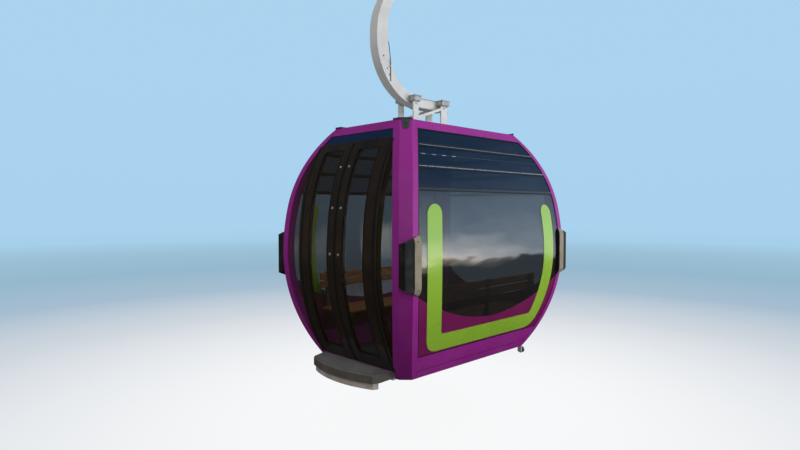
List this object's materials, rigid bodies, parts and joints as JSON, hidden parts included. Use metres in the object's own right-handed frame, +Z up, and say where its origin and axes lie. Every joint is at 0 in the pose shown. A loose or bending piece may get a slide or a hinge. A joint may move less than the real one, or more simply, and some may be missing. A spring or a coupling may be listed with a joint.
{
  "type": "cable car cabin",
  "caption": "Barrel-shaped gondola cabin with curved double doors, benches and a bent hanger arm that swings under a rope grip with a sprung jaw.",
  "frame": {"origin": "the rope's axis, at the middle of the grip's jaws", "axes": "+X along the rope, -Y towards the doors, +Z up"},
  "size_m": [1.788, 2.386, 4.483],
  "materials": {
    "livery_paint": "gloss",
    "window_glass": "polished",
    "door_glass": "polished",
    "door_frames": "satin",
    "window_bars": "satin",
    "linings": "satin",
    "grey_plastic": "matte",
    "beige_plastic": "matte",
    "roof_paint": "satin",
    "floor_board": "matte",
    "galvanised": "matte",
    "bench_wood": "satin",
    "bench_frame": "satin",
    "grip_paint": "satin",
    "pin_steel": "polished",
    "wheel_plastic": "satin",
    "black_plastic": "satin"
  },
  "bodies": {
    "grip": {"grip_casting": "grip_paint", "grip_beam": "grip_paint", "pivot_pin": "pin_steel", "lever_pin": "pin_steel", "drive_plate": "black_plastic", "spring_rods": "pin_steel"},
    "cabin": {"arm_conduit": "black_plastic", "bench_brackets_front": "bench_frame", "bench_brackets_rear": "bench_frame", "bench_slats_front": "bench_wood", "bench_slats_rear": "bench_wood", "bottom_rails": "livery_paint", "bumper_plates": "beige_plastic", "corner_bumpers": "grey_plastic", "door_frame": "door_frames", "door_glass": "door_glass", "door_leaf_left": "door_frames", "door_leaf_right": "door_frames", "door_sill": "grey_plastic", "door_wall_panes": "door_glass", "floor": "floor_board", "floor_beams": "galvanised", "hanger_arm": "galvanised", "hanger_heads": "galvanised", "hanger_legs": "galvanised", "linings": "linings", "post_front_back": "livery_paint", "post_front_door": "livery_paint", "post_rear_back": "livery_paint", "post_rear_door": "livery_paint", "roller_brackets": "galvanised", "roof_corner_caps": "grey_plastic", "roof_panel": "roof_paint", "sill_lip": "beige_plastic", "top_rails": "livery_paint", "window_back": "window_glass", "window_bars": "window_bars", "window_front": "window_glass", "window_rear": "window_glass"},
    "jaw": {"jaw_lever": "grip_paint"},
    "lever_wheel": {"lever_roller": "wheel_plastic"},
    "running_wheel_front": {"running_roller_front": "wheel_plastic"},
    "running_wheel_rear": {"running_roller_rear": "wheel_plastic"},
    "guide_wheel_front": {"guide_roller_front": "wheel_plastic"},
    "guide_wheel_rear": {"guide_roller_rear": "wheel_plastic"}
  },
  "joints": [
    {"name": "hanger_swing", "type": "hinge", "parent": "grip", "child": "cabin", "pos_m": [0, -0.2235, -0.04], "axis": [0, 1, 0], "range_deg": [-35, 35]},
    {"name": "jaw_open", "type": "hinge", "parent": "grip", "child": "jaw", "pos_m": [0, -0.07, 0.125], "axis": [1, 0, 0], "range_deg": [0, 10], "stiffness_Nm_per_rad": 60, "springref_deg": -34.38, "deforming": ["spring_rods"]},
    {"name": "lever_roller_turn", "type": "hinge", "parent": "jaw", "child": "lever_wheel", "pos_m": [0, -0.32, 0.176], "axis": [0, 1, 0], "continuous": true},
    {"name": "running_roller_front_turn", "type": "hinge", "parent": "grip", "child": "running_wheel_front", "pos_m": [0.165, -0.312, 0.022], "axis": [0, 1, 0], "continuous": true},
    {"name": "guide_roller_front_turn", "type": "hinge", "parent": "cabin", "child": "guide_wheel_front", "pos_m": [0.5, 0.93655, -4.22], "axis": [0, 1, 0], "continuous": true},
    {"name": "running_roller_rear_turn", "type": "hinge", "parent": "grip", "child": "running_wheel_rear", "pos_m": [-0.165, -0.312, 0.022], "axis": [0, 1, 0], "continuous": true},
    {"name": "guide_roller_rear_turn", "type": "hinge", "parent": "cabin", "child": "guide_wheel_rear", "pos_m": [-0.5, 0.93655, -4.22], "axis": [0, 1, 0], "continuous": true}
  ]
}
